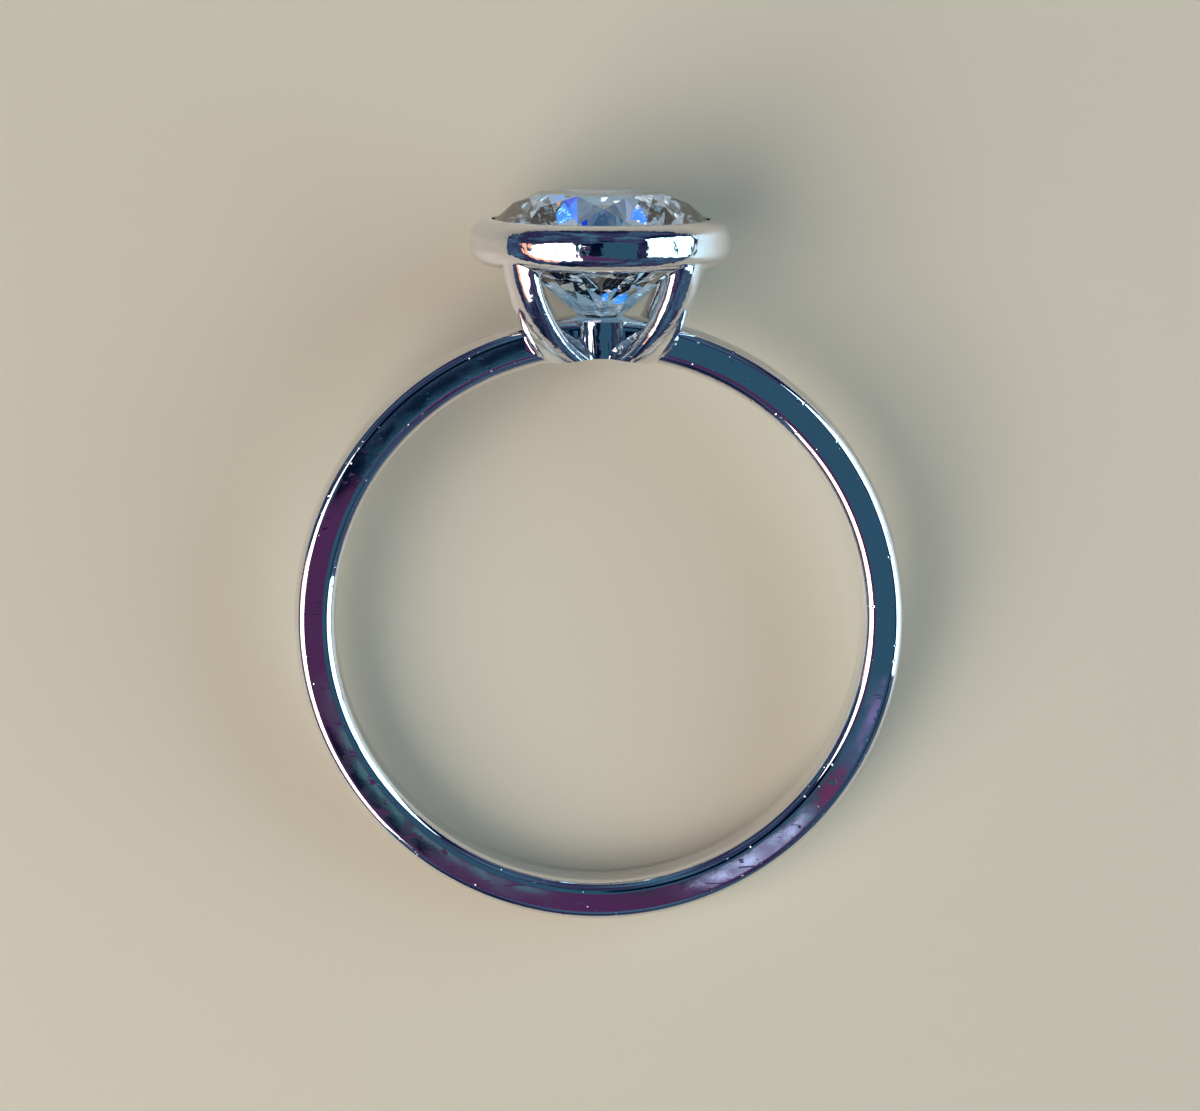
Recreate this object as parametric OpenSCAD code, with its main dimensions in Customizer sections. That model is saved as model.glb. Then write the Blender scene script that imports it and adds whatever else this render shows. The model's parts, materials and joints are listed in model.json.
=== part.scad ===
// Bezel set ring, lying on its side as it rests by itself.
// Two pieces: the soldered metal (band, hub, four basket wires and bezel) and the round brilliant it holds.

/* [Finger hole] */
// Diameter of the finger hole, US size 7
finger_d = 17.35; // [14:0.05:22]

/* [Band] */
// Width of the band along the finger
band_w = 2.1; // [1.6:0.1:3.2]
// Thickness of the band, from the finger hole to the crest of its outer dome
band_t = 1.35; // [1.1:0.05:2]
// Height of the outer dome over the edge of the flat side
dome_h = 0.15; // [0.05:0.05:0.3]
// Radius that eases the two edges of the finger hole
hole_ease = 0.4; // [0.1:0.05:0.45]
// Radius that eases the two outer edges of the flat sides
edge_ease = 0.3; // [0.1:0.05:0.35]

/* [Stone] */
// Diameter of the stone at its girdle, 1.5 carats
stone_d = 7.5; // [6.5:0.1:8.5]
// Width of the table across its corners
table_d = 4.3; // [3.4:0.1:4.8]
// Slope of the eight kite facets of the crown, in degrees
crown_angle = 35.5; // [32:0.5:37]
// Slope of the eight main facets of the pavilion, in degrees
pavilion_angle = 40.75; // [39.5:0.25:42]
// Thickness of the girdle at its widest
girdle_t = 0.19; // [0.16:0.01:0.3]
// Width of the small flat at the culet
culet_d = 0.12; // [0.06:0.02:0.3]

/* [Setting] */
// Height of the girdle's upper edge over the finger hole's wall
stone_rise = 4.17; // [4.1:0.01:5.5]
// Clearance between the stone and the metal
stone_gap = 0.04; // [0.02:0.01:0.08]
// Thickness of the bezel's wall at its crest
bezel_wall = 0.5; // [0.4:0.02:0.7]
// Height of the bezel
bezel_h = 1.5; // [1.2:0.05:1.6]
// Radius that rounds the bezel's two outer edges
bezel_round = 0.6; // [0.3:0.05:0.6]
// Reach of the burnished lip over the stone's edge
lip_reach = 0.19; // [0.12:0.01:0.25]
// Thickness of the burnished lip
lip_t = 0.09; // [0.06:0.01:0.14]
// Width of the bearing under the stone's edge
bearing_w = 0.4; // [0.3:0.02:0.5]

/* [Basket] */
// Width of a basket wire, seen from outside
wire_w = 1.4; // [1.1:0.05:1.6]
// Thickness of a basket wire
wire_t = 0.85; // [0.7:0.05:0.95]
// Radius of the two narrow ends of a wire's oval section
wire_round = 0.3; // [0.2:0.02:0.34]
// Bow radius of a basket wire
wire_bow_r = 4.6; // [4.4:0.1:9]
// Distance from the stone's axis to a wire's centre at the finger hole
wire_foot = 1.54; // [1.4:0.02:1.8]
// Distance from the bezel's crest in to a wire's centre
wire_inset = 0.5; // [0.48:0.01:0.7]
// Depth that a wire runs up into the bezel
wire_lap = 0.5; // [0.4:0.02:0.56]
// Diameter of the hub between the wires' feet
hub_d = 2.5; // [2:0.1:3]
// Height of the hub over the finger hole's wall
hub_h = 1.18; // [0.9:0.02:1.3]

/* [Hidden] */
$fn = 128;

WIRES = 4;
FACETS = 8;
// Steps of the girdle's outline between two corners of its facets
GIRDLE_STEPS = 4;
// Share of the crown's width that a star facet spans
STAR_SHARE = 0.5;
// Share of the pavilion's width that a lower girdle facet spans
LOWER_SHARE = 0.77;
// Length by which a cutter passes the metal that it cuts
CUT_PAST = 1;
// Length by which the smaller of two touching arcs stands out, so that the join between them is clean
ARC_LAP = 0.0002;

// Band: its section lies with the finger hole's wall at hole_r from the finger's axis.
hole_r = finger_d / 2;
crest_r = hole_r + band_t;
half_w = band_w / 2;
dome_r = (half_w * half_w + dome_h * dome_h) / (2 * dome_h);
dome_at = crest_r - dome_r;
// The easing arc touches the flat side and the dome.
ease_n = half_w - edge_ease;
ease_at = dome_at + sqrt(pow(dome_r - edge_ease, 2) - ease_n * ease_n) + ARC_LAP;
ease_turn = asin(ease_n / (dome_r - edge_ease));

// Stone: heights are measured from the finger's axis along the stone's axis.
stone_r = stone_d / 2;
table_r = table_d / 2;
culet_r = culet_d / 2;
facet_turn = 180 / FACETS;
girdle_top = hole_r + stone_rise;
girdle_low = girdle_top - girdle_t;
table_u = girdle_top + (stone_r - table_r) * tan(crown_angle);
culet_u = girdle_low - (stone_r - culet_r) * tan(pavilion_angle);
table_in = table_r * cos(facet_turn);
star_r = table_in + STAR_SHARE * (stone_r - table_in);
star_u = girdle_top + (stone_r - star_r * cos(facet_turn)) * tan(crown_angle);
lower_r = stone_r * (1 - LOWER_SHARE);
lower_u = girdle_low - (stone_r - lower_r * cos(facet_turn)) * tan(pavilion_angle);
// Steepest slopes over and under the girdle, which the metal round the stone follows
upper_slope = (star_u - girdle_top) / (stone_r - star_r);
lower_slope = (girdle_low - lower_u) / (stone_r - lower_r);
// The chord between two corners of the girdle dips this much in from the circle.
chord_in = stone_r * (1 - cos(facet_turn / 2));

// Bezel
seat_r = stone_r + stone_gap;
bezel_r = seat_r + bezel_wall;
lip_r = stone_r - lip_reach;
bore_r = stone_r - bearing_w;
seat_up = stone_gap * sqrt(1 + upper_slope * upper_slope);
seat_down = stone_gap * sqrt(1 + lower_slope * lower_slope);
lip_u = girdle_top + lip_reach * upper_slope + seat_up;
bezel_top = lip_u + lip_t;
bezel_low = bezel_top - bezel_h;
bezel_round_at = bezel_r - bezel_round;

// Basket wire: an arc from its foot at the finger hole up into the bezel
wire_top_at = bezel_r - wire_inset;
wire_top_u = bezel_low + wire_lap;
chord = [wire_top_at - wire_foot, wire_top_u - hole_r];
half_chord = norm(chord) / 2;
bow_in = sqrt(wire_bow_r * wire_bow_r - half_chord * half_chord);
bow_at = (wire_top_at + wire_foot) / 2 - bow_in * chord[1] / (2 * half_chord);
bow_u = (wire_top_u + hole_r) / 2 + bow_in * chord[0] / (2 * half_chord);
foot_turn = atan2(hole_r - bow_u, wire_foot - bow_at);
top_turn = atan2(wire_top_u - bow_u, wire_top_at - bow_at);
// The wire runs on past the hole's wall, which trims it flush.
foot_past = asin((wire_t + CUT_PAST / 2) / wire_bow_r);
// Its section has an arc for each wide face and one for each narrow end, which touch each other.
wire_end_at = wire_w / 2 - wire_round;
wire_face_r = (wire_end_at * wire_end_at + wire_t * wire_t / 4 - wire_round * wire_round)
    / (wire_t - 2 * wire_round);
wire_face_at = wire_face_r - wire_t / 2;
wire_face_turn = atan2(wire_end_at, wire_face_at);

// Rest: the ring lies on the bezel's lower round and on the band's eased back edge.
rest_rise = bezel_round_at - ease_n;
rest_span = bezel_low + bezel_round + ease_at;
rest_tilt = atan2(rest_rise, rest_span)
    + asin((bezel_round - edge_ease) / norm([rest_rise, rest_span]));
ring_z = ease_at * sin(rest_tilt) + ease_n * cos(rest_tilt) + edge_ease;
// The origin stands on the surface, under the middle of the ring's length.
front_y = table_u * cos(rest_tilt) + table_in * sin(rest_tilt);
back_y = -dome_at * cos(rest_tilt) - dome_r;
ring_y = -(front_y + back_y) / 2;

// Lays what is built round the finger's axis, with the stone towards +Y, down on the surface.
module lie_down() {
    translate([0, ring_y, ring_z]) rotate([rest_tilt, 0, 0]) children();
}

// Turns what is built round a vertical stone axis so that this axis points along +Y.
module on_stone_axis() {
    rotate([-90, 0, 0]) children();
}

// Section of the band: flat sides, a domed outside and eased edges
module band_section() {
    // Straight wall and the eased edges of the finger hole
    translate([hole_r, hole_ease - half_w]) square([hole_ease, band_w - 2 * hole_ease]);
    for (side = [-1, 1]) {
        translate([hole_r + hole_ease, side * (half_w - hole_ease)]) circle(hole_ease);
        translate([ease_at, side * ease_n]) circle(edge_ease);
    }
    // Flat sides
    translate([hole_r + hole_ease, -half_w]) square([ease_at - hole_r - hole_ease, band_w]);
    // Dome
    intersection() {
        translate([dome_at, 0]) circle(dome_r);
        translate([hole_r + hole_ease, -dome_r * sin(ease_turn)])
            square([band_t, 2 * dome_r * sin(ease_turn)]);
    }
}

module band() {
    rotate_extrude() band_section();
}

module hub() {
    translate([0, 0, hole_r - CUT_PAST]) cylinder(d = hub_d, h = hub_h + CUT_PAST);
}

// Section of a basket wire: an oval of four arcs
module wire_section() {
    for (side = [-1, 1]) translate([0, side * (wire_end_at + ARC_LAP)]) circle(wire_round);
    intersection() {
        translate([-wire_face_at, 0]) circle(wire_face_r);
        translate([wire_face_at, 0]) circle(wire_face_r);
        square([wire_t, 2 * wire_face_r * sin(wire_face_turn)], center = true);
    }
}

module basket_wire() {
    translate([bow_at, 0, bow_u]) rotate([90, 0, 0]) rotate([0, 0, foot_turn - foot_past])
        rotate_extrude(angle = top_turn - foot_turn + foot_past)
            translate([wire_bow_r, 0]) wire_section();
}

module bezel() {
    rotate_extrude() {
        for (u = [bezel_low + bezel_round, bezel_top - bezel_round])
            translate([bezel_round_at, u]) circle(bezel_round);
        translate([bezel_round_at, bezel_low + bezel_round])
            square([bezel_round, bezel_h - 2 * bezel_round]);
        translate([bore_r, bezel_low]) square([bezel_round_at - bore_r, bezel_h]);
    }
}

// Room for the stone: its outline of revolution with the clearance, open above the lip
module stone_room() {
    rotate_extrude() polygon([
        [0, girdle_low - stone_r * lower_slope - seat_down],
        [seat_r, girdle_low - seat_down + stone_gap * lower_slope],
        [seat_r, girdle_top + seat_up - stone_gap * upper_slope],
        [lip_r, lip_u],
        [lip_r, table_u + CUT_PAST],
        [0, table_u + CUT_PAST]
    ]);
}

module ring_mount() color([0.80, 0.81, 0.84]) lie_down() difference() {
    union() {
        band();
        on_stone_axis() {
            hub();
            bezel();
            for (k = [0 : WIRES - 1]) rotate([0, 0, (k + 0.5) * 360 / WIRES]) basket_wire();
        }
    }
    cylinder(r = hole_r, h = hub_d + 4 * wire_w, center = true);
    on_stone_axis() stone_room();
}

// A point at a distance from the stone's axis, a turn about it and a height
function around(r, turn, u) = [r * cos(turn), r * sin(turn), u];

// The girdle's edges dip between the corners, where the flat facets meet the round outline.
function dip(turn, slope) = let (t = turn % facet_turn)
    (stone_r * cos(t - facet_turn / 2) - (stone_r - chord_in)) * slope;

// Round brilliant: table, 8 stars, 8 kites, 16 upper girdle facets, the girdle, 16 lower girdle facets,
// 8 mains and the culet. Corner lists run round the axis, and each facet lists its corners clockwise.
module brilliant() {
    steps = 2 * FACETS * GIRDLE_STEPS;
    step = 360 / steps;
    pair = 2 * GIRDLE_STEPS;
    upper_fall = (star_u - girdle_top) / (stone_r - chord_in - star_r * cos(facet_turn / 2));
    lower_fall = (girdle_low - lower_u) / (stone_r - chord_in - lower_r * cos(facet_turn / 2));
    corners = concat(
        [for (k = [0 : FACETS - 1]) around(table_r, 2 * k * facet_turn, table_u)],
        [for (k = [0 : FACETS - 1]) around(star_r, (2 * k + 1) * facet_turn, star_u)],
        [for (k = [0 : steps - 1])
            around(stone_r, k * step, girdle_top - dip(k * step, upper_fall))],
        [for (k = [0 : steps - 1])
            around(stone_r, k * step, girdle_low + dip(k * step, lower_fall))],
        [for (k = [0 : FACETS - 1]) around(lower_r, (2 * k + 1) * facet_turn, lower_u)],
        [for (k = [0 : FACETS - 1]) around(culet_r, 2 * k * facet_turn, culet_u)]
    );
    // First corner of each list
    table = 0;
    star = FACETS;
    upper = 2 * FACETS;
    under = upper + steps;
    lower = under + steps;
    culet = lower + FACETS;
    facets = concat(
        [[for (k = [FACETS - 1 : -1 : 0]) table + k]],
        [for (k = [0 : FACETS - 1]) [table + k, table + (k + 1) % FACETS, star + k]],
        [for (k = [0 : FACETS - 1])
            [table + k, star + k, upper + k * pair, star + (k + FACETS - 1) % FACETS]],
        [for (k = [0 : FACETS - 1], half = [0, 1]) concat(
            [star + k],
            [for (j = [GIRDLE_STEPS : -1 : 0]) upper + (k * pair + half * GIRDLE_STEPS + j) % steps])],
        [for (k = [0 : steps - 1])
            [upper + k, upper + (k + 1) % steps, under + (k + 1) % steps, under + k]],
        [for (k = [0 : FACETS - 1], half = [0, 1]) concat(
            [lower + k],
            [for (j = [0 : GIRDLE_STEPS]) under + (k * pair + half * GIRDLE_STEPS + j) % steps])],
        [for (k = [0 : FACETS - 1])
            [culet + k, lower + (k + FACETS - 1) % FACETS, under + k * pair, lower + k]],
        [for (k = [0 : FACETS - 1]) [culet + k, lower + k, culet + (k + 1) % FACETS]],
        [[for (k = [0 : FACETS - 1]) culet + k]]
    );
    polyhedron(points = corners, faces = facets, convexity = 2);
}

// The star facets point sideways and along the finger.
module stone() color([0.86, 0.92, 0.97]) lie_down() on_stone_axis() rotate([0, 0, facet_turn]) brilliant();

ring_mount();
stone();
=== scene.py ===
import json
import math

import bmesh
import bpy
from mathutils import Matrix, Vector, noise


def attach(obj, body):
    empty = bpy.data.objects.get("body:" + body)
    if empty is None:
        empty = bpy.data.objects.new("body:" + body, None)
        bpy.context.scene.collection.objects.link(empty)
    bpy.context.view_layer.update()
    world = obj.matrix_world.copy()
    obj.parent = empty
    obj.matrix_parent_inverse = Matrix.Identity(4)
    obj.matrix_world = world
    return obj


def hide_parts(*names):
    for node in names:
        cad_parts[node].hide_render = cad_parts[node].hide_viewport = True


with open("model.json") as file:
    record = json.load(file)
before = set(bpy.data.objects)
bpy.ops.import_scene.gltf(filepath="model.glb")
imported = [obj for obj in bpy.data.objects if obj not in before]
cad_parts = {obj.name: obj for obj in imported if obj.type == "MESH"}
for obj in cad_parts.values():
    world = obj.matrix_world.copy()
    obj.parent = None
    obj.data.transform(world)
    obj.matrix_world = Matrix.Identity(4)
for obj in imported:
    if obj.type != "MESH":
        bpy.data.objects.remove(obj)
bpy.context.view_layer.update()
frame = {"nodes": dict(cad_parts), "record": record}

# Sizes in metres, in the ring's own frame: X across the ring, Y from the finger's axis to the stone,
# Z along the finger's axis.
MM = 0.001
FINGER = next(m for m in frame["record"]["mounts"] if m["name"] == "finger_hole")
HOLE_R = FINGER["dims"]["r_mm"] * MM

BAND_W = 2.1 * MM
BAND_T = 1.35 * MM
DOME_H = 0.15 * MM
HOLE_EASE = 0.4 * MM
EDGE_EASE = 0.3 * MM
BAND_MID_R = HOLE_R + BAND_T / 2

GIRDLE_TOP = HOLE_R + 4.17 * MM
GIRDLE_LOW = GIRDLE_TOP - 0.19 * MM
GIRDLE_R = 3.75 * MM
LOWER_SLOPE = 0.87
STONE_GAP = 0.04 * MM
GIRDLE_END_GAP = STONE_GAP * 0.45
SEAT_R = GIRDLE_R + STONE_GAP
CULET_SEAT_R = 3.3 * MM

BEZEL_R = 4.29 * MM
BEZEL_TOP = 13.157 * MM
BEZEL_LOW = 11.657 * MM
BEZEL_ROUND = 0.6 * MM
BEZEL_SOFT = 0.03 * MM
LIP_R = 3.56 * MM
LIP_UNDER = 13.067 * MM
BORE_R = 3.35 * MM
BEZEL_MID_R = (BEZEL_R + BORE_R) / 2

WIRES = 4
WIRE_W = 1.4 * MM
WIRE_T = 0.85 * MM
WIRE_ROUND = 0.3 * MM
WIRE_BOW_R = 4.6 * MM
WIRE_FOOT = 1.54 * MM
WIRE_TOP_AT = 3.79 * MM
WIRE_TOP_U = BEZEL_LOW + 0.5 * MM
WIRE_SPARE_TURN = 0.2
HUB_R = 1.25 * MM
HUB_TOP = HOLE_R + 1.18 * MM
HUB_LOW = HOLE_R - 0.5 * MM

# The part of the band that takes part in the soldering lies in this box.
HEAD_LOW = Vector((-4.4 * MM, 7.8 * MM, -2 * MM))
HEAD_HIGH = Vector((4.4 * MM, 11 * MM, 2 * MM))

# The wires and the solder are cut off at this radius, as far as this on both sides of the band's middle.
FLUSH_R = HOLE_R + 0.002 * MM
FLUSH_REACH = 4 * MM

# A support point stands this far from the end of a straight stretch of an outline.
HOLD = 0.02 * MM

# Points closer than this are one point, and edges sharper than this stay sharp when the metal is shaded.
DOUBLE = 1e-7
SHARP_ANGLE = math.radians(30)

# Turns of what is made about the Z axis.
ABOUT_FINGER = (0, 0, 0)
ABOUT_STONE = (math.pi / 2, 0, 0)
LEVEL = Matrix.Identity(4)
UPRIGHT = Matrix.Rotation(-math.pi / 2, 4, "X")


def ring_frame():
    """Matrix from the ring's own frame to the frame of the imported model."""
    finger = Vector(FINGER["axis"]).normalized()
    across = Vector((1, 0, 0))
    place = Matrix((across, finger.cross(across), finger)).transposed().to_4x4()
    place.translation = Vector(FINGER["pos_m"])
    return place


RING = ring_frame()


# Outlines

def arc(centre, radius, start, end, steps):
    """Points on an arc, in degrees, both ends included."""
    turns = [math.radians(start + (end - start) * k / steps) for k in range(steps + 1)]
    return [(centre[0] + radius * math.cos(t), centre[1] + radius * math.sin(t)) for t in turns]


def held(a, b):
    """Two points just inside the straight from a to b, which keep it flat when it is shaded smooth."""
    share = HOLD / math.dist(a, b)
    return [tuple(p + (q - p) * s for p, q in zip(a, b)) for s in (share, 1 - share)]


def outline_of(stretches):
    """One closed outline from arcs, with a support point near each end of the straights between them."""
    points = []
    for k, stretch in enumerate(stretches):
        points += stretch
        following = stretches[(k + 1) % len(stretches)][0]
        gap = math.dist(stretch[-1], following)
        if gap > 3 * HOLD:
            points += held(stretch[-1], following)
        elif gap < HOLD / 100:
            points.pop()
    return points


def band_outline():
    """Section of the band, as distance from the finger's axis and place along it."""
    half = BAND_W / 2
    dome_r = (half * half + DOME_H * DOME_H) / (2 * DOME_H)
    dome_at = HOLE_R + BAND_T - dome_r
    ease_n = half - EDGE_EASE
    ease_at = dome_at + math.sqrt((dome_r - EDGE_EASE) ** 2 - ease_n ** 2)
    turn = math.degrees(math.asin(ease_n / (dome_r - EDGE_EASE)))
    inner = HOLE_R + HOLE_EASE
    inner_n = half - HOLE_EASE
    return outline_of([
        arc((dome_at, 0), dome_r, -turn, turn, steps=24),
        arc((ease_at, ease_n), EDGE_EASE, turn, 90, steps=6),
        arc((inner, inner_n), HOLE_EASE, 90, 180, steps=10),
        arc((inner, -inner_n), HOLE_EASE, 180, 270, steps=10),
        arc((ease_at, -ease_n), EDGE_EASE, 270, 360 - turn, steps=6),
    ])


def bezel_outline():
    """Section of the bezel, as distance from the stone's axis and height over the finger's axis."""
    at = BEZEL_R - BEZEL_ROUND
    seat_low = GIRDLE_LOW - GIRDLE_END_GAP
    seat_high = GIRDLE_TOP + GIRDLE_END_GAP
    bearing = seat_low - (SEAT_R - BORE_R) * LOWER_SLOPE
    return outline_of([
        arc((at, BEZEL_LOW + BEZEL_ROUND), BEZEL_ROUND, -90, 0, steps=16),
        arc((at, BEZEL_TOP - BEZEL_ROUND), BEZEL_ROUND, 0, 90, steps=16),
        arc((LIP_R + BEZEL_SOFT, BEZEL_TOP - BEZEL_SOFT), BEZEL_SOFT, 90, 180, steps=5),
        [(LIP_R, LIP_UNDER)],
        [(SEAT_R, seat_high)],
        [(SEAT_R, seat_low)],
        [(BORE_R, bearing)],
        arc((BORE_R + BEZEL_SOFT, BEZEL_LOW + BEZEL_SOFT), BEZEL_SOFT, 180, 270, steps=5),
    ])


def bezel_blank_outline():
    """The bezel's lower part without its bearing, which the solder runs up to."""
    centre = (BEZEL_R - BEZEL_ROUND, BEZEL_LOW + BEZEL_ROUND)
    low_round = arc(centre, BEZEL_ROUND, -90, -10, steps=16)
    return low_round + [(BORE_R, WIRE_TOP_U), (BORE_R, BEZEL_LOW)]


def wire_outline():
    """Section of a basket wire: an oval of four arcs."""
    across = WIRE_W / 2 - WIRE_ROUND
    thick = WIRE_T / 2
    face_r = (across ** 2 + thick ** 2 - WIRE_ROUND ** 2) / (2 * (thick - WIRE_ROUND))
    face_at = face_r - thick
    turn = math.degrees(math.atan2(across, face_at))
    return outline_of([
        arc((-face_at, 0), face_r, -turn, turn, steps=8),
        arc((0, across), WIRE_ROUND, turn, 180 - turn, steps=12),
        arc((face_at, 0), face_r, 180 - turn, 180 + turn, steps=8),
        arc((0, -across), WIRE_ROUND, 180 + turn, 360 - turn, steps=12),
    ])


# Nodes that the trees and the materials share

def put(tree, value, socket):
    """Sets a socket to a number or colour, or links an output to it."""
    if isinstance(value, bpy.types.NodeSocket):
        tree.links.new(value, socket)
    else:
        socket.default_value = value


def maths(tree, operation, a, b=0.0):
    """The result of a sum on two numbers or outputs."""
    node = tree.nodes.new("ShaderNodeMath")
    node.operation = operation
    put(tree, a, node.inputs[0])
    put(tree, b, node.inputs[1])
    return node.outputs[0]


def blend(tree, mask, low, high):
    """The colour between two colours or outputs, by a mask. The node's colours are inputs 6 and 7."""
    node = tree.nodes.new("ShaderNodeMix")
    node.data_type = "RGBA"
    put(tree, mask, node.inputs[0])
    put(tree, low, node.inputs[6])
    put(tree, high, node.inputs[7])
    return node.outputs[2]


def cloud(tree, place, scale, detail):
    """Soft noise from 0 to 1 at a place."""
    node = tree.nodes.new("ShaderNodeTexNoise")
    node.inputs["Detail"].default_value = detail
    put(tree, place, node.inputs["Vector"])
    put(tree, scale, node.inputs["Scale"])
    return node.outputs["Fac"]


# Geometry Nodes

def new_tree(name, sizes):
    """A geometry node tree that works on a shape, with named sizes and a material as inputs."""
    tree = bpy.data.node_groups.new(name, "GeometryNodeTree")
    tree.is_modifier = True
    for label, kind in [("Shape", "Geometry")] + sizes + [("Material", "Material")]:
        tree.interface.new_socket(label, in_out="INPUT", socket_type="NodeSocket" + kind)
    tree.interface.new_socket("Metal", in_out="OUTPUT", socket_type="NodeSocketGeometry")
    return tree, tree.nodes.new("NodeGroupInput")


def end_tree(tree, made, source):
    """Smooths the shading, realizes the instances and sets the material."""
    smooth = tree.nodes.new("GeometryNodeSetShadeSmooth")
    real = tree.nodes.new("GeometryNodeRealizeInstances")
    paint = tree.nodes.new("GeometryNodeSetMaterial")
    target = tree.nodes.new("NodeGroupOutput")
    link = tree.links.new
    link(made, smooth.inputs["Geometry"])
    link(smooth.outputs[0], real.inputs["Geometry"])
    link(real.outputs[0], paint.inputs["Geometry"])
    link(source.outputs["Material"], paint.inputs["Material"])
    link(paint.outputs[0], target.inputs["Metal"])


def turned_ring_tree():
    """Sweeps an outline round a circle, as a lathe would, and turns the result to its axis."""
    tree, source = new_tree("Turned ring", [("Radius", "Float"), ("Steps", "Int"), ("Turn", "Rotation")])
    section = tree.nodes.new("GeometryNodeMeshToCurve")
    circle = tree.nodes.new("GeometryNodeCurvePrimitiveCircle")
    sweep = tree.nodes.new("GeometryNodeCurveToMesh")
    place = tree.nodes.new("GeometryNodeTransform")
    link = tree.links.new
    link(source.outputs["Shape"], section.inputs["Mesh"])
    link(source.outputs["Steps"], circle.inputs["Resolution"])
    link(source.outputs["Radius"], circle.inputs["Radius"])
    link(circle.outputs["Curve"], sweep.inputs["Curve"])
    link(section.outputs["Curve"], sweep.inputs["Profile Curve"])
    link(sweep.outputs["Mesh"], place.inputs["Geometry"])
    link(source.outputs["Turn"], place.inputs["Rotation"])
    end_tree(tree, place.outputs["Geometry"], source)
    return tree


def basket_tree():
    """Sweeps an outline along a bowed arc and repeats the wire evenly round the stone's axis."""
    tree, source = new_tree("Basket wires", [
        ("Count", "Int"), ("Bow radius", "Float"), ("Bow centre", "Vector"),
        ("Start angle", "Float"), ("Sweep angle", "Float"), ("Steps", "Int")])
    section = tree.nodes.new("GeometryNodeMeshToCurve")
    bow = tree.nodes.new("GeometryNodeCurveArc")
    sweep = tree.nodes.new("GeometryNodeCurveToMesh")
    sweep.inputs["Fill Caps"].default_value = True
    place = tree.nodes.new("GeometryNodeTransform")
    points = tree.nodes.new("GeometryNodePoints")
    index = tree.nodes.new("GeometryNodeInputIndex")
    step = maths(tree, "DIVIDE", math.tau, source.outputs["Count"])
    turn = maths(tree, "MULTIPLY", maths(tree, "ADD", index.outputs[0], 0.5), step)
    about = tree.nodes.new("ShaderNodeCombineXYZ")
    copies = tree.nodes.new("GeometryNodeInstanceOnPoints")
    link = tree.links.new
    link(source.outputs["Shape"], section.inputs["Mesh"])
    link(source.outputs["Steps"], bow.inputs["Resolution"])
    link(source.outputs["Bow radius"], bow.inputs["Radius"])
    link(source.outputs["Start angle"], bow.inputs["Start Angle"])
    link(source.outputs["Sweep angle"], bow.inputs["Sweep Angle"])
    link(bow.outputs["Curve"], sweep.inputs["Curve"])
    link(section.outputs["Curve"], sweep.inputs["Profile Curve"])
    link(sweep.outputs["Mesh"], place.inputs["Geometry"])
    link(source.outputs["Bow centre"], place.inputs["Translation"])
    link(source.outputs["Count"], points.inputs["Count"])
    link(turn, about.inputs["Y"])
    link(points.outputs[0], copies.inputs["Points"])
    link(place.outputs["Geometry"], copies.inputs["Instance"])
    link(about.outputs[0], copies.inputs["Rotation"])
    end_tree(tree, copies.outputs["Instances"], source)
    return tree


def offset_skin(tree, shape, distance, voxel):
    """The skin at a distance from a closed shape, outside it, or inside it for a negative distance."""
    field = tree.nodes.new("GeometryNodeMeshToSDFGrid")
    field.inputs["Band Width"].default_value = 9
    skin = tree.nodes.new("GeometryNodeGridToMesh")
    link = tree.links.new
    link(shape, field.inputs["Mesh"])
    link(voxel, field.inputs["Voxel Size"])
    link(field.outputs[0], skin.inputs["Grid"])
    link(distance, skin.inputs["Threshold"])
    return skin.outputs["Mesh"]


def solder_tree():
    """Fills the creases of a shape with a round fillet, as solder does, and gives the solder soft lumps.
    The shape grows by the fillet's radius and shrinks again by the radius and a little more, so that the
    solder stands out of the metal only in the creases."""
    tree, source = new_tree("Solder", [
        ("Fillet radius", "Float"), ("Sink", "Float"), ("Voxel size", "Float"), ("Lump height", "Float"),
        ("Lumps per metre", "Float")])
    out_by = source.outputs["Fillet radius"]
    back_by = maths(tree, "MULTIPLY", maths(tree, "ADD", out_by, source.outputs["Sink"]), -1)
    shape = source.outputs["Shape"]
    for distance in (out_by, back_by):
        shape = offset_skin(tree, shape, distance, source.outputs["Voxel size"])
    place = tree.nodes.new("GeometryNodeInputPosition")
    even = tree.nodes.new("GeometryNodeBlurAttribute")
    even.data_type = "FLOAT_VECTOR"
    even.inputs["Iterations"].default_value = 3
    lumps = cloud(tree, place.outputs[0], source.outputs["Lumps per metre"], detail=1)
    height = maths(tree, "MULTIPLY", maths(tree, "SUBTRACT", lumps, 0.5), source.outputs["Lump height"])
    outward = tree.nodes.new("GeometryNodeInputNormal")
    push = tree.nodes.new("ShaderNodeVectorMath")
    push.operation = "SCALE"
    moved = tree.nodes.new("GeometryNodeSetPosition")
    link = tree.links.new
    link(place.outputs[0], even.inputs["Value"])
    link(outward.outputs[0], push.inputs[0])
    link(height, push.inputs["Scale"])
    link(shape, moved.inputs["Geometry"])
    link(even.outputs["Value"], moved.inputs["Position"])
    link(push.outputs[0], moved.inputs["Offset"])
    end_tree(tree, moved.outputs["Geometry"], source)
    return tree


# Mesh tools

def new_object(name, mesh):
    made = bpy.data.objects.new(name, mesh)
    bpy.context.scene.collection.objects.link(made)
    return made


def as_mesh(name, made):
    """The evaluated object as a plain mesh object; the object with its modifiers is removed."""
    bpy.context.view_layer.update()
    graph = bpy.context.evaluated_depsgraph_get()
    mesh = bpy.data.meshes.new_from_object(made.evaluated_get(graph))
    bpy.data.objects.remove(made)
    mesh.name = name
    return new_object(name, mesh)


def mend(mesh):
    """Merges doubles and turns every face outwards."""
    work = bmesh.new()
    work.from_mesh(mesh)
    bmesh.ops.remove_doubles(work, verts=work.verts, dist=DOUBLE)
    bmesh.ops.recalc_face_normals(work, faces=work.faces)
    work.to_mesh(mesh)
    work.free()


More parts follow.
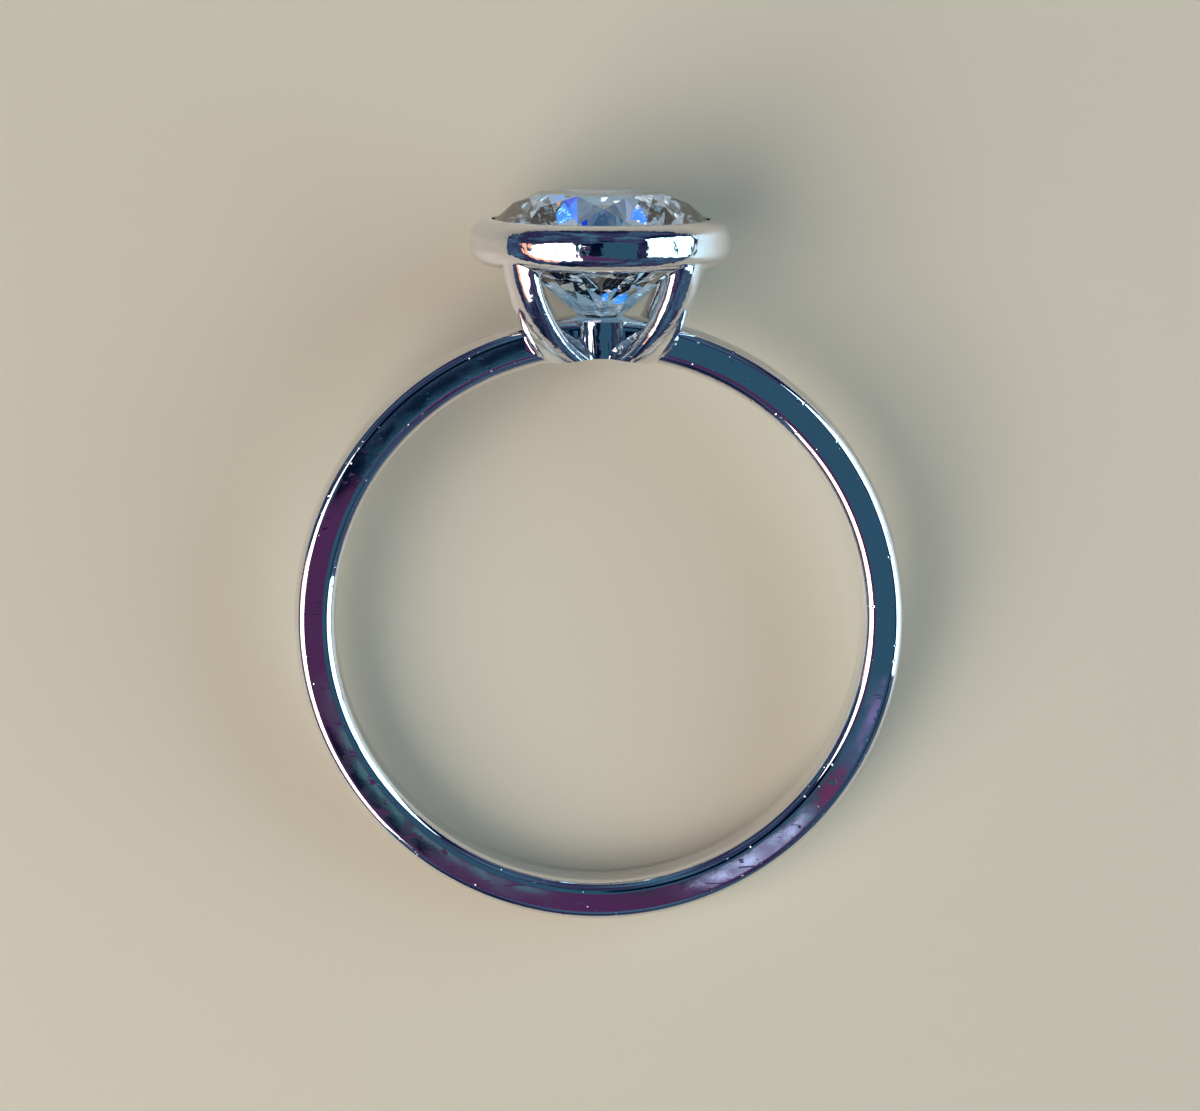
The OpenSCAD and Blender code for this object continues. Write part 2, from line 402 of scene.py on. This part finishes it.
def run_tree(made, tree, values):
    """Runs a tree on an object, with the values of its named inputs, and returns a plain mesh."""
    name = made.name
    modifier = made.modifiers.new(tree.name, "NODES")
    modifier.node_group = tree
    sockets = {s.name: s.identifier for s in tree.interface.items_tree if s.in_out == "INPUT"}
    for label, value in values.items():
        modifier[sockets[label]] = value
    made = as_mesh(name, made)
    mend(made.data)
    return made


def grown(name, outline, tree, values):
    """Runs a tree on a closed outline and returns a plain mesh."""
    mesh = bpy.data.meshes.new(name)
    count = len(outline)
    mesh.from_pydata([(x, y, 0) for x, y in outline], [(k, (k + 1) % count) for k in range(count)], [])
    return run_tree(new_object(name, mesh), tree, values)


def turned_ring(name, outline, radius, steps, turn, finish):
    """A ring from an outline that is given by its distance from the axis; it is swept at the radius."""
    section = [(x - radius, y) for x, y in outline]
    values = {"Radius": radius, "Steps": steps, "Turn": turn, "Material": finish}
    return grown(name, section, TURNED_RING, values)


def joined(base, other, operation, keep=False):
    """Base and other as one closed solid, or base with other cut away."""
    modifier = base.modifiers.new(operation, "BOOLEAN")
    modifier.operation = operation
    modifier.solver = "MANIFOLD"
    modifier.material_mode = "TRANSFER"
    modifier.object = other
    made = as_mesh(base.name, base)
    if not keep:
        bpy.data.objects.remove(other)
    return made


def from_bmesh(name, work, finish):
    """An object from a worked mesh, with one finish."""
    mesh = bpy.data.meshes.new(name)
    work.to_mesh(mesh)
    work.free()
    mesh.materials.append(finish)
    return new_object(name, mesh)


def box_tool(name, low, high, finish):
    """A box between two corners, used for cutting."""
    work = bmesh.new()
    bmesh.ops.create_cube(work, size=1)
    bmesh.ops.scale(work, verts=work.verts, vec=high - low)
    bmesh.ops.translate(work, verts=work.verts, vec=(high + low) / 2)
    return from_bmesh(name, work, finish)


def round_tool(name, low_r, high_r, low, high, steps, turn, finish):
    """A cone or cylinder along the turned Z axis, used for the hub and for cutting."""
    work = bmesh.new()
    bmesh.ops.create_cone(
        work, cap_ends=True, segments=steps, radius1=low_r, radius2=high_r, depth=high - low)
    bmesh.ops.translate(work, verts=work.verts, vec=(0, 0, (high + low) / 2))
    bmesh.ops.transform(work, matrix=turn, verts=work.verts)
    return from_bmesh(name, work, finish)


# Finishes

# Wear is laid out in mm. The nicks lie along two circles, each given by its radius and by how far from it
# they fade out. A hairline is where stretched noise is within its width of the middle value.
NICK_CORE = 0.04
NICK_CIRCLES = ((9.0, 0.14), (9.72, 0.16))
HAIRLINE_TURNS = (0.5, 1.35, 2.6)
HAIRLINE_TILT = 0.3
HAIRLINE_STRETCH = (0.25, 1.7, 1.0)
HAIRLINE_WIDTH = 0.02


def fade(tree, value, low, high, to_low=0.0, to_high=1.0):
    """A smooth step of a value, from one number at low to another at high."""
    node = tree.nodes.new("ShaderNodeMapRange")
    node.interpolation_type = "SMOOTHSTEP"
    for socket, number in zip(node.inputs[:5], (value, low, high, to_low, to_high)):
        put(tree, number, socket)
    return node.outputs[0]


def dents(tree, place, scale, radius, share, core=0.2):
    """Round dents in a share of random cells. The radius is a share of a cell, and the flat core of a dent
    is a share of its radius."""
    node = tree.nodes.new("ShaderNodeTexVoronoi")
    node.inputs["Scale"].default_value = scale
    tree.links.new(place, node.inputs["Vector"])
    pick = tree.nodes.new("ShaderNodeSeparateColor")
    tree.links.new(node.outputs["Color"], pick.inputs[0])
    size = maths(tree, "MULTIPLY", pick.outputs["Green"], radius)
    deep = fade(tree, node.outputs["Distance"], maths(tree, "MULTIPLY", size, core), size, 1.0, 0.0)
    return maths(tree, "MULTIPLY", deep, maths(tree, "LESS_THAN", pick.outputs["Red"], share))


def hairlines(tree, place):
    """Fine scratches in three directions, only where the polish is worn."""
    lines = None
    for turn in HAIRLINE_TURNS:
        aim = tree.nodes.new("ShaderNodeMapping")
        aim.inputs["Rotation"].default_value = (HAIRLINE_TILT * turn, 0, turn)
        aim.inputs["Scale"].default_value = HAIRLINE_STRETCH
        tree.links.new(place, aim.inputs["Vector"])
        middle = maths(tree, "SUBTRACT", cloud(tree, aim.outputs[0], scale=1, detail=1), 0.5)
        line = fade(tree, maths(tree, "ABSOLUTE", middle), 0.0, HAIRLINE_WIDTH, 1.0, 0.0)
        lines = line if lines is None else maths(tree, "MAXIMUM", lines, line)
    worn = fade(tree, cloud(tree, place, scale=2.0, detail=1), low=0.58, high=0.66)
    return maths(tree, "MULTIPLY", lines, worn)


def edge_nicks(tree, place):
    """Nicks along the circles where the band's flat sides meet its eased edges."""
    apart = tree.nodes.new("ShaderNodeSeparateXYZ")
    tree.links.new(place, apart.inputs[0])
    squares = [maths(tree, "POWER", apart.outputs[axis], 2) for axis in (0, 1)]
    radius = maths(tree, "SQRT", maths(tree, "ADD", *squares))
    circles = []
    for at, reach in NICK_CIRCLES:
        away = maths(tree, "ABSOLUTE", maths(tree, "SUBTRACT", radius, at))
        circles.append(fade(tree, away, NICK_CORE, reach, 1.0, 0.0))
    chips = dents(tree, place, scale=5.5, radius=0.36, share=0.45)
    return maths(tree, "MULTIPLY", maths(tree, "MAXIMUM", *circles), chips)


def wear_group():
    """Wear of polished metal, read at a place in the ring's own frame in mm. Its height is in mm: slow
    waves, ripples, grain, hairlines, pits, and nicks on the band's edges."""
    group = bpy.data.node_groups.new("worn polish", "ShaderNodeTree")
    group.interface.new_socket("Place", in_out="INPUT", socket_type="NodeSocketVector")
    for label in ("Waves", "Ripples", "Grain", "Hairlines", "Pits", "Nicks"):
        group.interface.new_socket(label, in_out="INPUT", socket_type="NodeSocketFloat")
    for label in ("Height", "Dulled", "Tarnish"):
        group.interface.new_socket(label, in_out="OUTPUT", socket_type="NodeSocketFloat")
    source = group.nodes.new("NodeGroupInput")
    target = group.nodes.new("NodeGroupOutput")
    place = source.outputs["Place"]

    lines = hairlines(group, place)
    large_pits = dents(group, place, scale=1.9, radius=0.15, share=0.3)
    small_pits = dents(group, place, scale=5.0, radius=0.3, share=0.10)
    pits = maths(group, "MAXIMUM", large_pits, small_pits)

    height = 0.0
    for label, scale in (("Waves", 0.6), ("Ripples", 1.9), ("Grain", 11)):
        rise = maths(group, "SUBTRACT", cloud(group, place, scale, detail=2), 0.5)
        height = maths(group, "ADD", height, maths(group, "MULTIPLY", rise, source.outputs[label]))
    for label, mask in (("Hairlines", lines), ("Pits", pits), ("Nicks", edge_nicks(group, place))):
        height = maths(group, "SUBTRACT", height, maths(group, "MULTIPLY", mask, source.outputs[label]))
    hazy = fade(group, cloud(group, place, scale=1.3, detail=3), low=0.45, high=0.75)
    dulled = maths(group, "MAXIMUM", hazy, maths(group, "MULTIPLY", lines, 0.8))
    stained = fade(group, cloud(group, place, scale=0.25, detail=3), low=0.42, high=0.7)
    tarnish = maths(group, "MAXIMUM", stained, large_pits)

    group.links.new(height, target.inputs["Height"])
    group.links.new(dulled, target.inputs["Dulled"])
    group.links.new(tarnish, target.inputs["Tarnish"])
    return group


def new_material(name):
    made = bpy.data.materials.new(name)
    made.use_nodes = True
    return made, made.node_tree, made.node_tree.nodes["Principled BSDF"]


def worn_material(name, roughness, colours, **amounts):
    """A material with the wear group's relief in mm. Its roughness runs from polished to dulled, and its
    colour from bright to tarnished."""
    made, tree, shader = new_material(name)
    coord = tree.nodes.new("ShaderNodeTexCoord")
    aim = tree.nodes.new("ShaderNodeMapping")
    back = RING.inverted()
    aim.inputs["Location"].default_value = back.translation / MM
    aim.inputs["Rotation"].default_value = back.to_euler()
    aim.inputs["Scale"].default_value = (1 / MM, 1 / MM, 1 / MM)
    worn = tree.nodes.new("ShaderNodeGroup")
    worn.node_tree = WORN
    for label, value in amounts.items():
        worn.inputs[label.capitalize()].default_value = value
    bump = tree.nodes.new("ShaderNodeBump")
    bump.inputs["Distance"].default_value = MM
    rough = tree.nodes.new("ShaderNodeMapRange")
    rough.inputs["To Min"].default_value, rough.inputs["To Max"].default_value = roughness
    bright, tarnished = [(*colour, 1) for colour in colours]
    link = tree.links.new
    link(coord.outputs["Object"], aim.inputs["Vector"])
    link(aim.outputs[0], worn.inputs["Place"])
    link(worn.outputs["Height"], bump.inputs["Height"])
    link(bump.outputs[0], shader.inputs["Normal"])
    link(worn.outputs["Dulled"], rough.inputs["Value"])
    link(rough.outputs[0], shader.inputs["Roughness"])
    link(blend(tree, worn.outputs["Tarnish"], bright, tarnished), shader.inputs["Base Color"])
    return made, shader


def metal_material(name, **finish):
    made, shader = worn_material(name, **finish)
    shader.inputs["Metallic"].default_value = 1
    return made


def stone_material(name, **finish):
    made, shader = worn_material(name, **finish)
    shader.inputs["IOR"].default_value = 2.42
    shader.inputs["Transmission Weight"].default_value = 1
    return made


WORN = wear_group()
BAND_METAL = metal_material(
    "band metal", roughness=(0.03, 0.075), colours=((0.80, 0.81, 0.84), (0.76, 0.75, 0.76)),
    waves=0.0009, grain=0.00006, hairlines=0.0011, pits=0.008, nicks=0.009)
BEZEL_METAL = metal_material(
    "bezel metal", roughness=(0.04, 0.10), colours=((0.81, 0.82, 0.85), (0.76, 0.75, 0.77)),
    waves=0.05, ripples=0.024, grain=0.0002, hairlines=0.002, pits=0.004)
WIRE_METAL = metal_material(
    "wire metal", roughness=(0.06, 0.16), colours=((0.81, 0.82, 0.85), (0.74, 0.74, 0.77)),
    waves=0.04, ripples=0.020, grain=0.0005, hairlines=0.002, pits=0.006)
SOLDER_METAL = metal_material(
    "solder metal", roughness=(0.06, 0.16), colours=((0.80, 0.81, 0.84), (0.72, 0.71, 0.73)),
    waves=0.03, ripples=0.03, grain=0.0008, pits=0.012)
STONE = stone_material(
    "clear stone", roughness=(0, 0.02), colours=((0.88, 0.95, 1), (0.80, 0.91, 0.98)),
    waves=0.0003, ripples=0.0022, grain=0.00002, hairlines=0.0001)


# Ring

TURNED_RING = turned_ring_tree()


def make_wires():
    """The basket's wires. Each follows an arc from its foot at the finger hole to the bezel, and starts a
    little before the foot, so that the flush cut gives it a clean end."""
    reach = Vector((WIRE_TOP_AT - WIRE_FOOT, WIRE_TOP_U - HOLE_R))
    middle = Vector((WIRE_TOP_AT + WIRE_FOOT, WIRE_TOP_U + HOLE_R)) / 2
    inward = math.sqrt(WIRE_BOW_R ** 2 - reach.length_squared / 4)
    bow = middle + Vector((-reach.y, reach.x)).normalized() * inward
    start = math.atan2(HOLE_R - bow.y, WIRE_FOOT - bow.x) - WIRE_SPARE_TURN
    end = math.atan2(WIRE_TOP_U - bow.y, WIRE_TOP_AT - bow.x)
    return grown("wires", wire_outline(), basket_tree(), {
        "Count": WIRES, "Bow radius": WIRE_BOW_R, "Bow centre": (bow.x, bow.y, 0), "Start angle": start,
        "Sweep angle": end - start, "Steps": 64, "Material": WIRE_METAL})


def make_solder(band, basket):
    """The solder in the creases between the band, the hub, the wires and the bezel."""
    head = box_tool("head box", HEAD_LOW, HEAD_HIGH, SOLDER_METAL)
    shape = joined(head, band, "INTERSECT", keep=True)
    shape = joined(shape, basket, "UNION", keep=True)
    blank = turned_ring("bezel blank", bezel_blank_outline(), BEZEL_MID_R, steps=180, turn=ABOUT_STONE,
                        finish=SOLDER_METAL)
    shape = joined(shape, blank, "UNION")
    return run_tree(shape, solder_tree(), {
        "Fillet radius": 0.27 * MM, "Sink": 0.035 * MM, "Voxel size": 0.05 * MM, "Lump height": 0.08 * MM,
        "Lumps per metre": 2800.0, "Material": SOLDER_METAL})


def make_basket(band):
    """The wires, the hub where they meet, and the solder, cut flush with the finger hole."""
    hub = round_tool("hub", HUB_R, HUB_R, HUB_LOW, HUB_TOP, steps=96, turn=UPRIGHT, finish=WIRE_METAL)
    hub.data.shade_smooth()
    basket = joined(make_wires(), hub, "UNION")
    basket = joined(basket, make_solder(band, basket), "UNION")
    flush = round_tool("flush cut", FLUSH_R, FLUSH_R, -FLUSH_REACH, FLUSH_REACH, steps=720, turn=LEVEL,
                       finish=WIRE_METAL)
    return joined(basket, flush, "DIFFERENCE")


def make_metal():
    """The whole of the metal as one closed piece."""
    band = turned_ring("ring_metal", band_outline(), BAND_MID_R, steps=720, turn=ABOUT_FINGER,
                       finish=BAND_METAL)
    bezel = turned_ring("bezel", bezel_outline(), BEZEL_MID_R, steps=360, turn=ABOUT_STONE,
                        finish=BEZEL_METAL)
    metal = joined(band, make_basket(band), "UNION")
    metal = joined(metal, bezel, "UNION")
    tip = GIRDLE_LOW - SEAT_R * LOWER_SLOPE - STONE_GAP
    high = tip + CULET_SEAT_R * LOWER_SLOPE
    seat = round_tool("culet seat", 0, CULET_SEAT_R, tip, high, steps=96, turn=UPRIGHT, finish=WIRE_METAL)
    metal = joined(metal, seat, "DIFFERENCE")
    metal.data.transform(RING)
    metal.data.set_sharp_from_angle(angle=SHARP_ANGLE)
    metal.name = "ring_metal"
    return metal


metal = make_metal()
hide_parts("ring_mount")
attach(metal, "root")

stone = frame["nodes"]["stone"]
stone.data.materials.clear()
stone.data.materials.append(STONE)


# Stage

# The flat near face of the band mirrors the cards overhead. A card's point lies on the line from the
# camera's mirror image through the place on the face where it shows.
CARD_UP = 120 * MM
CARD_EDGE_SEED = 4
MIRRORED_EYE = Vector((-4.7, 23.1, -146.05)) * MM
FACE_UP = BAND_W / 2

# Half of a window's bar, as a share of its width, and how strongly its panes glow.
BAR_SHARE = 0.012
PANE_GLOW = 4


def make_camera():
    """The camera looks down on the lying ring, leaning a little to the stone's side."""
    lean = math.radians(8.08)
    side = math.radians(1.81)
    distance = 150 * MM
    seen_width = 39.53 * MM
    aim = Vector((0.03 * MM, 2.05 * MM, distance))
    turn = (Matrix.Rotation(side, 3, "Y") @ Matrix.Rotation(lean, 3, "X")).transposed()
    data = bpy.data.cameras.new("camera")
    data.sensor_width = 36
    data.lens = data.sensor_width * distance / seen_width
    data.clip_start = 5 * MM
    data.clip_end = 10
    made = new_object("camera", data)
    made.matrix_world = RING @ (Matrix.Translation(turn @ aim) @ turn.to_4x4())
    bpy.context.scene.camera = made


def make_floor():
    material, _, shader = new_material("pale floor")
    shader.inputs["Base Color"].default_value = (0.57, 0.49, 0.37, 1)
    shader.inputs["Roughness"].default_value = 0.32
    work = bmesh.new()
    bmesh.ops.create_grid(work, x_segments=1, y_segments=1, size=0.6)
    made = from_bmesh("floor", work, material)


def card(name, place, corners, colour, strength=1.0, through=False):
    """A glowing card with its corners moved by a matrix. It shows only in the metal, or only through the
    stone."""
    mesh = bpy.data.meshes.new(name)
    mesh.from_pydata([place @ Vector(c) for c in corners], [], [list(range(len(corners)))])
    made = new_object(name, mesh)
    material = bpy.data.materials.new(name)
    material.use_nodes = True
    nodes = material.node_tree.nodes
    nodes.clear()
    glow = nodes.new("ShaderNodeEmission")
    glow.inputs["Color"].default_value = (*colour, 1)
    glow.inputs["Strength"].default_value = strength
    out = nodes.new("ShaderNodeOutputMaterial")
    material.node_tree.links.new(glow.outputs[0], out.inputs["Surface"])
    mesh.materials.append(material)
    made.visible_camera = False
    made.visible_diffuse = False
    made.visible_shadow = False
    made.visible_transmission = through
    made.visible_glossy = not through


def rectangle(x0, y0, x1, y1):
    return [(x0, y0, 0), (x1, y0, 0), (x1, y1, 0), (x0, y1, 0)]


def over(x, u, up):
    """Point at a height over the ring that shows at (x, u), in mm, on the flat near face."""
    place = Vector((x * MM, u * MM, FACE_UP))
    return MIRRORED_EYE + (place - MIRRORED_EYE) * (up - MIRRORED_EYE.z) / (FACE_UP - MIRRORED_EYE.z)


def polar(angle, radius):
    """Place on the face at a clockwise angle from the stone."""
    turn = math.radians(angle)
    return radius * math.sin(turn), radius * math.cos(turn)


def ragged(places, step=0.6, most=24, depth=0.10, scale=1.3):
    """Splits the sides of a shape into steps, and moves the points a little by noise, for an uneven edge.
    Sizes are in mm, and the noise's scale is per mm."""
    points = []
    for (x0, u0), (x1, u1) in zip(places, places[1:] + places[:1]):
        parts = max(1, min(most, round(math.hypot(x1 - x0, u1 - u0) / step)))
        for k in range(parts):
            x = x0 + (x1 - x0) * k / parts
            u = u0 + (u1 - u0) * k / parts
            shift = noise.noise_vector(Vector((x, u, 0)) * scale) * depth
            points.append((x + shift.x, u + shift.y))
    return points


def strip(start, end, inner, outer, turn_step=8):
    """Part of a ring on the face between two clockwise angles, with tapered ends."""
    steps = max(2, round(abs(end - start) / turn_step))
    turns = [start + (end - start) * k / steps for k in range(steps + 1)]
    middle = (inner + outer) / 2
    inner_side = [polar(a, inner) for a in turns[1:-1]]
    outer_side = [polar(a, outer) for a in turns[-2:0:-1]]
    return [polar(start, middle)] + inner_side + [polar(end, middle)] + outer_side


def make_cards():
    """Glowing cards overhead: dark ones, the ceiling colours that the band's flat face mirrors, and a pale
    one that it mirrors as a painted highlight.
    """
    noise.seed_set(CARD_EDGE_SEED)

    def hang(name, places, level, colour):
        """A card that shows at the places on the face, in mm, and hangs some mm over the lowest one."""
        card(name, RING, [over(x, u, CARD_UP + level * MM) for x, u in ragged(places)], colour)

    hang("teal card", [(-30, -30), (35, -30), (35, 35), (-30, 35)], 6, (0.030, 0.096, 0.158))
    hang("plum card", [
        (-30, 9.6), (-8.6, 5.6), (-6, 3), (-3, -2), (3, -5), (6, -6.4), (9, -7.5), (20, -12), (20, -30),
        (-30, -30)], 4, (0.085, 0.028, 0.100))
    hang("navy card", [
        (-0.6, 30), (-0.3, 9.3), *[polar(a, 9.17) for a in range(-12, -61, -8)],
        polar(-66, 9.5), (-14, 8), (-30, 16), (-30, 30)], 3, (0.0005, 0.004, 0.018))
    hang("slate card", strip(-58, -8, 9.56, 9.9), 2, (0.035, 0.065, 0.12))
    hang("dark card", [
        polar(-108, 9.7), polar(-116, 9.4), polar(-124, 9.25), polar(-138, 9.25), polar(-148, 9.5),
        polar(-140, 10.2), polar(-118, 10.2)], 2, (0.0005, 0.001, 0.020))
    hang("green card", strip(-100, -172, 9.0, 9.27), 1, (0.080, 0.22, 0.25))
    hang("moss card", strip(120, 178, 9.0, 9.22), 1, (0.010, 0.052, 0.045))
    hang("maroon card", strip(118, 133, 9.1, 9.9), 1, (0.16, 0.040, 0.12))
    hang("lilac card", strip(100, 122, 9.38, 9.8), 0, (0.22, 0.19, 0.44))
    # The pale card glows brightly; the face mirrors it as a painted pale highlight.
    hang("pale card", [
        polar(131, 9.40), polar(138, 9.30), polar(147, 9.24), polar(156, 9.26), polar(163, 9.36),
        polar(156, 9.48), polar(150, 9.72), polar(143, 9.78), polar(136, 9.6)], 0, (0.66, 0.76, 1.2))


def facing(direction, distance):
    """Matrix of something away from the ring in a direction of the ring's own frame, its +Z towards it."""
    away = (RING.to_3x3() @ Vector(direction)).normalized()
    place = (-away).to_track_quat("Z", "Y").to_matrix().to_4x4()
    place.translation = RING.translation + away * distance
    return place


def soft_light(name, direction, distance, width, height, power, colour):
    """A soft light that faces the ring. The metal and the stone show the cards in its place."""
    data = bpy.data.lights.new(name, "AREA")
    data.shape = "RECTANGLE"
    data.size = width
    data.size_y = height
    data.energy = power
    data.color = colour
    made = new_object(name, data)
    made.matrix_world = facing(direction, distance) @ Matrix.Rotation(math.pi, 4, "Y")
    made.visible_camera = False
    made.visible_glossy = False
    made.visible_transmission = False


def window(name, direction, distance, width, height, power, colour, panes):
    """A window of four panes with dark bars: a soft light, and a glowing card for each pane."""
    soft_light(name + " light", direction, distance, width, height, power, colour)
    place = facing(direction, distance)
    bar = BAR_SHARE * width
    for k in range(4):
        x0 = (k % 2 - 1) * width / 2 + bar
        y0 = (k // 2 - 1) * height / 2 + bar
        x1 = x0 + width / 2 - 2 * bar
        y1 = y0 + height / 2 - 2 * bar
        card(f"{name} pane {k + 1}", place, rectangle(x0, y0, x1, y1), panes, strength=PANE_GLOW)


def make_windows():
    """Two windows, a warm strip under the left one, and a weak light overhead."""
    window("left window", (-0.604, -0.256, 0.755), distance=0.35, width=0.30, height=0.28, power=1.3,
           colour=(1, 0.97, 0.93), panes=(1, 0.98, 0.95))
    window("right window", (0.893, 0.157, 0.423), distance=0.35, width=0.36, height=0.28, power=1.1,
           colour=(0.62, 0.85, 1), panes=(0.5, 0.8, 1))
    sill = facing((-0.813, -0.345, 0.469), distance=0.34)
    card("warm sill", sill, rectangle(-0.16, -0.02, 0.16, 0.022), (1, 0.42, 0.26), strength=1.5)
    soft_light("overhead", (0.05, 0.15, 1), distance=0.6, width=0.7, height=0.7, power=0.6,
               colour=(1, 0.98, 0.96))


def make_fire():
    """What the stone's facets look at: coloured light high on both sides, and grey close under it."""
    def high(name, turn, rise, wide, tall, colour, distance=0.30):
        """A card seen from the stone's middle, in degrees round the finger's axis and up along it."""
        turn, rise = math.radians(turn), math.radians(rise)
        aim = Vector((math.cos(rise) * math.cos(turn), math.cos(rise) * math.sin(turn), math.sin(rise)))
        target = Vector((0, GIRDLE_TOP, 0)) + aim * distance
        corners = rectangle(-wide / 2, -tall / 2, wide / 2, tall / 2)
        card(name, facing(target, target.length), corners, colour, through=True)

    def low(name, x0, x1, y0, y1, colour, up=0.2):
        """A card that lies just over the floor, in mm."""
        corners = rectangle(x0 * MM, y0 * MM, x1 * MM, y1 * MM)
        card(name, Matrix.Translation((0, 0, up * MM)), corners, colour, through=True)

    high("blue fire", 358.5, 43, 0.034, 0.040, (0.0, 0.52, 2.0))
    high("cyan fire", 357.6, 43.6, 0.009, 0.012, (0.1, 1.5, 2.2), distance=0.29)
    high("white fire", 357.3, 42.6, 0.005, 0.006, (1.2, 2.2, 2.4), distance=0.28)
    high("deep fire", 359.9, 43.6, 0.007, 0.012, (0.0, 0.12, 1.1), distance=0.29)
    high("pale fire", 4, 47, 0.020, 0.012, (0.20, 0.42, 0.80))
    high("blue spot", 174, 44.4, 0.024, 0.016, (0.0, 0.45, 2.2))
    high("window spot", 174, 45.6, 0.012, 0.008, (2.0, 2.1, 2.4), distance=0.29)
    high("small spot", 172.6, 48.4, 0.008, 0.008, (1.6, 1.8, 1.9))
    # Glowing grey and slate sheets just over the floor, seen only through the stone: painted light and
    # shade that the stone shows there in place of the tan floor.
    low("grey glow seen through stone", -30, 30, -12, 30, (0.20, 0.33, 0.44), up=0.1)
    low("slate glow seen through stone", -1.0, 1.1, 7.3, 9.6, (0.06, 0.13, 0.24))
    low("dark blue fire", 1.6, 2.4, 7.6, 9.2, (0.0, 0.30, 1.8))
    low("deep blue fire", 0.95, 1.6, 7.6, 9.2, (0.0, 0.07, 0.9))
    low("lavender fire", -2.0, -1.35, 7.8, 8.9, (0.30, 0.40, 0.66))
    low("small glint", -0.75, -0.25, 6.45, 6.8, (1.8, 1.9, 1.9))
    low("blue patch", -0.65, -0.2, 11.45, 11.9, (0.0, 0.45, 1.6), up=0.3)


def make_world():
    """The dark room that the metal mirrors, and the paler one that is seen through the stone."""
    world = bpy.data.worlds.new("studio")
    bpy.context.scene.world = world
    world.use_nodes = True
    tree = world.node_tree
    coord = tree.nodes.new("ShaderNodeTexCoord")

    def room(scale, detail, stops):
        """Patches of colour all round; each stop is a place on the noise and its colour."""
        ramp = tree.nodes.new("ShaderNodeValToRGB")
        put(tree, cloud(tree, coord.outputs["Generated"], scale, detail), ramp.inputs[0])
        for _ in stops[2:]:
            ramp.color_ramp.elements.new(0.5)
        for element, (at, colour) in zip(ramp.color_ramp.elements, stops):
            element.position = at
            element.color = (*colour, 1)
        return ramp.outputs[0]

    mirrored = room(scale=2.2, detail=2, stops=[
        (0.36, (0.003, 0.010, 0.04)), (0.5, (0.04, 0.04, 0.10)), (0.66, (0.06, 0.16, 0.25))])
    seen = room(scale=3.5, detail=3, stops=[
        (0.34, (0.10, 0.16, 0.22)), (0.44, (0.30, 0.38, 0.45)), (0.53, (0.46, 0.56, 0.64)),
        (0.62, (0.26, 0.38, 0.50)), (0.70, (0.75, 0.9, 1.0))])
    path = tree.nodes.new("ShaderNodeLightPath")
    passed = maths(tree, "GREATER_THAN", path.outputs["Transmission Depth"], 0.5)
    put(tree, blend(tree, passed, mirrored, seen), tree.nodes["Background"].inputs["Color"])


make_camera()
make_floor()
make_cards()
make_fire()
make_world()
make_windows()
bpy.context.scene.view_settings.view_transform = "Standard"
